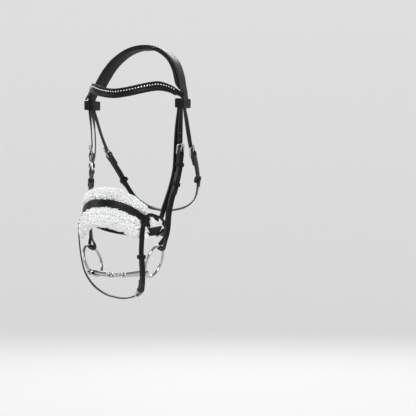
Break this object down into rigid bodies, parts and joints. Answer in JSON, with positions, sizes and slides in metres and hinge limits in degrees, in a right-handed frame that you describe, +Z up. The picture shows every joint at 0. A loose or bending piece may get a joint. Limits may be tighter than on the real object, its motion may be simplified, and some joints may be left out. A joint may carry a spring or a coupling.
{
  "type": "snaffle bridle",
  "caption": "Black leather snaffle bridle with crystal browband, sheepskin noseband, flash strap and loose ring bit.",
  "frame": {"origin": "underside of the headpiece padding at the poll, where the bridle rests on the horse", "axes": "+Z up, +X the horse's left side, the horse faces -Y"},
  "size_m": [0.2454, 0.3284, 0.5542],
  "materials": {
    "leather": "satin",
    "padding": "matte",
    "steel": "polished",
    "fleece": "wool",
    "crystal": "faceted"
  },
  "bodies": {
    "headstall": {"headpiece": "leather", "headpiece_padding": "padding", "browband": "leather", "browband_lining": "padding", "crystal_strip": "crystal", "left_browband_loop": "leather", "left_cheek_billet": "leather", "left_cheekpiece": "leather", "left_cheek_buckle": "steel", "left_cheek_keeper": "leather", "right_browband_loop": "leather", "right_cheek_billet": "leather", "right_cheekpiece": "leather", "right_cheek_buckle": "steel", "right_cheek_keeper": "leather"},
    "left_cheek_tongue_body": {"left_cheek_tongue": "steel"},
    "left_cheek_runner_body": {"left_cheek_runner": "leather"},
    "left_ring_body": {"left_bit_ring": "steel"},
    "right_cheek_tongue_body": {"right_cheek_tongue": "steel"},
    "right_cheek_runner_body": {"right_cheek_runner": "leather"},
    "right_ring_body": {"right_bit_ring": "steel"},
    "left_cannon_body": {"left_cannon": "steel"},
    "centre_link_body": {"centre_link": "steel"},
    "right_cannon_body": {"right_cannon": "steel"},
    "throatlatch_body": {"throatlatch": "leather", "left_throat_billet": "leather", "left_throat_buckle": "steel", "left_throat_keeper": "leather", "right_throat_billet": "leather", "right_throat_buckle": "steel", "right_throat_keeper": "leather"},
    "left_throat_tongue_body": {"left_throat_tongue": "steel"},
    "right_throat_tongue_body": {"right_throat_tongue": "steel"},
    "noseband_body": {"left_hanger": "leather", "right_hanger": "leather", "right_hanger_billet": "leather", "hanger_buckle": "steel", "hanger_keeper": "leather", "nose_strap": "leather", "nose_backing": "padding", "upper_fleece": "fleece", "lower_fleece": "fleece", "left_side_strap": "leather", "right_side_strap": "leather", "left_jaw_strap": "leather", "right_jaw_strap": "leather", "jaw_buckle": "steel", "jaw_keeper": "leather", "jaw_pad": "padding", "left_flash_loop": "leather", "right_flash_loop": "leather", "left_flash_strap": "leather", "right_flash_strap": "leather", "flash_buckle": "steel", "flash_keeper": "leather"},
    "hanger_tongue_body": {"hanger_tongue": "steel"},
    "jaw_tongue_body": {"jaw_tongue": "steel"},
    "flash_tongue_body": {"flash_tongue": "steel"}
  },
  "joints": [
    {"name": "left_cheek_tongue_hinge", "type": "hinge", "parent": "headstall", "child": "left_cheek_tongue_body", "pos_m": [0.10794, -0.05002, -0.23068], "axis": [0.4709, 0.8818, -0.0262], "range_deg": [0, 12]},
    {"name": "left_cheek_runner_slide", "type": "slide", "parent": "headstall", "child": "left_cheek_runner_body", "axis": [-0.1019, -0.2876, -0.9523], "range_m": [-0.006, 0.006]},
    {"name": "left_ring_spin", "type": "hinge", "parent": "headstall", "child": "left_ring_body", "pos_m": [0.075, -0.106, -0.462], "axis": [0.9511, 0, -0.309], "continuous": true},
    {"name": "right_cheek_tongue_hinge", "type": "hinge", "parent": "headstall", "child": "right_cheek_tongue_body", "pos_m": [-0.10794, -0.05002, -0.23068], "axis": [0.4709, -0.8818, 0.0262], "range_deg": [0, 12]},
    {"name": "right_cheek_runner_slide", "type": "slide", "parent": "headstall", "child": "right_cheek_runner_body", "axis": [0.1019, -0.2876, -0.9523], "range_m": [-0.006, 0.006]},
    {"name": "right_ring_spin", "type": "hinge", "parent": "headstall", "child": "right_ring_body", "pos_m": [-0.075, -0.106, -0.462], "axis": [-0.9511, 0, -0.309], "continuous": true},
    {"name": "left_cannon_fold", "type": "hinge", "parent": "headstall", "child": "left_cannon_body", "pos_m": [0.06722, -0.13031, -0.48594], "axis": [0, 0.7365, -0.6764], "range_deg": [0, 4]},
    {"name": "centre_link_fold", "type": "hinge", "parent": "left_cannon_body", "child": "centre_link_body", "pos_m": [0.014, -0.13537, -0.49145], "axis": [0, 0.7365, -0.6764], "range_deg": [-4, 0]},
    {"name": "right_cannon_fold", "type": "hinge", "parent": "centre_link_body", "child": "right_cannon_body", "pos_m": [-0.014, -0.13537, -0.49145], "axis": [0, 0.7365, -0.6764], "range_deg": [-4, 0]},
    {"name": "throatlatch_swing", "type": "hinge", "parent": "headstall", "child": "throatlatch_body", "pos_m": [0, -0.04, -0.124], "axis": [1, 0, 0], "range_deg": [0, 8]},
    {"name": "left_throat_tongue_hinge", "type": "hinge", "parent": "throatlatch_body", "child": "left_throat_tongue_body", "pos_m": [0.10313, 0.01978, -0.22911], "axis": [0.0896, 0.7346, 0.6726], "range_deg": [0, 12]},
    {"name": "right_throat_tongue_hinge", "type": "hinge", "parent": "throatlatch_body", "child": "right_throat_tongue_body", "pos_m": [-0.10313, 0.01978, -0.22911], "axis": [0.0896, -0.7346, -0.6726], "range_deg": [0, 12]},
    {"name": "noseband_swing", "type": "hinge", "parent": "headstall", "child": "noseband_body", "pos_m": [0, -0.046, -0.124], "axis": [-1, 0, 0], "range_deg": [0, 2]},
    {"name": "hanger_tongue_hinge", "type": "hinge", "parent": "noseband_body", "child": "hanger_tongue_body", "pos_m": [-0.0957, -0.071, -0.268], "axis": [0.458, -0.8576, 0.2341], "range_deg": [0, 12]},
    {"name": "jaw_tongue_hinge", "type": "hinge", "parent": "noseband_body", "child": "jaw_tongue_body", "pos_m": [0.05297, -0.02649, -0.40046], "axis": [-0.2553, -0.5869, -0.7684], "range_deg": [0, 12]},
    {"name": "flash_tongue_hinge", "type": "hinge", "parent": "noseband_body", "child": "flash_tongue_body", "pos_m": [0.05178, -0.12632, -0.52172], "axis": [-0.5117, -0.8114, -0.2826], "range_deg": [0, 12]}
  ],
  "couplings": [
    {"joint": "centre_link_fold", "follows": "left_cannon_fold", "ratio": -1},
    {"joint": "right_cannon_fold", "follows": "left_cannon_fold", "ratio": -1}
  ]
}
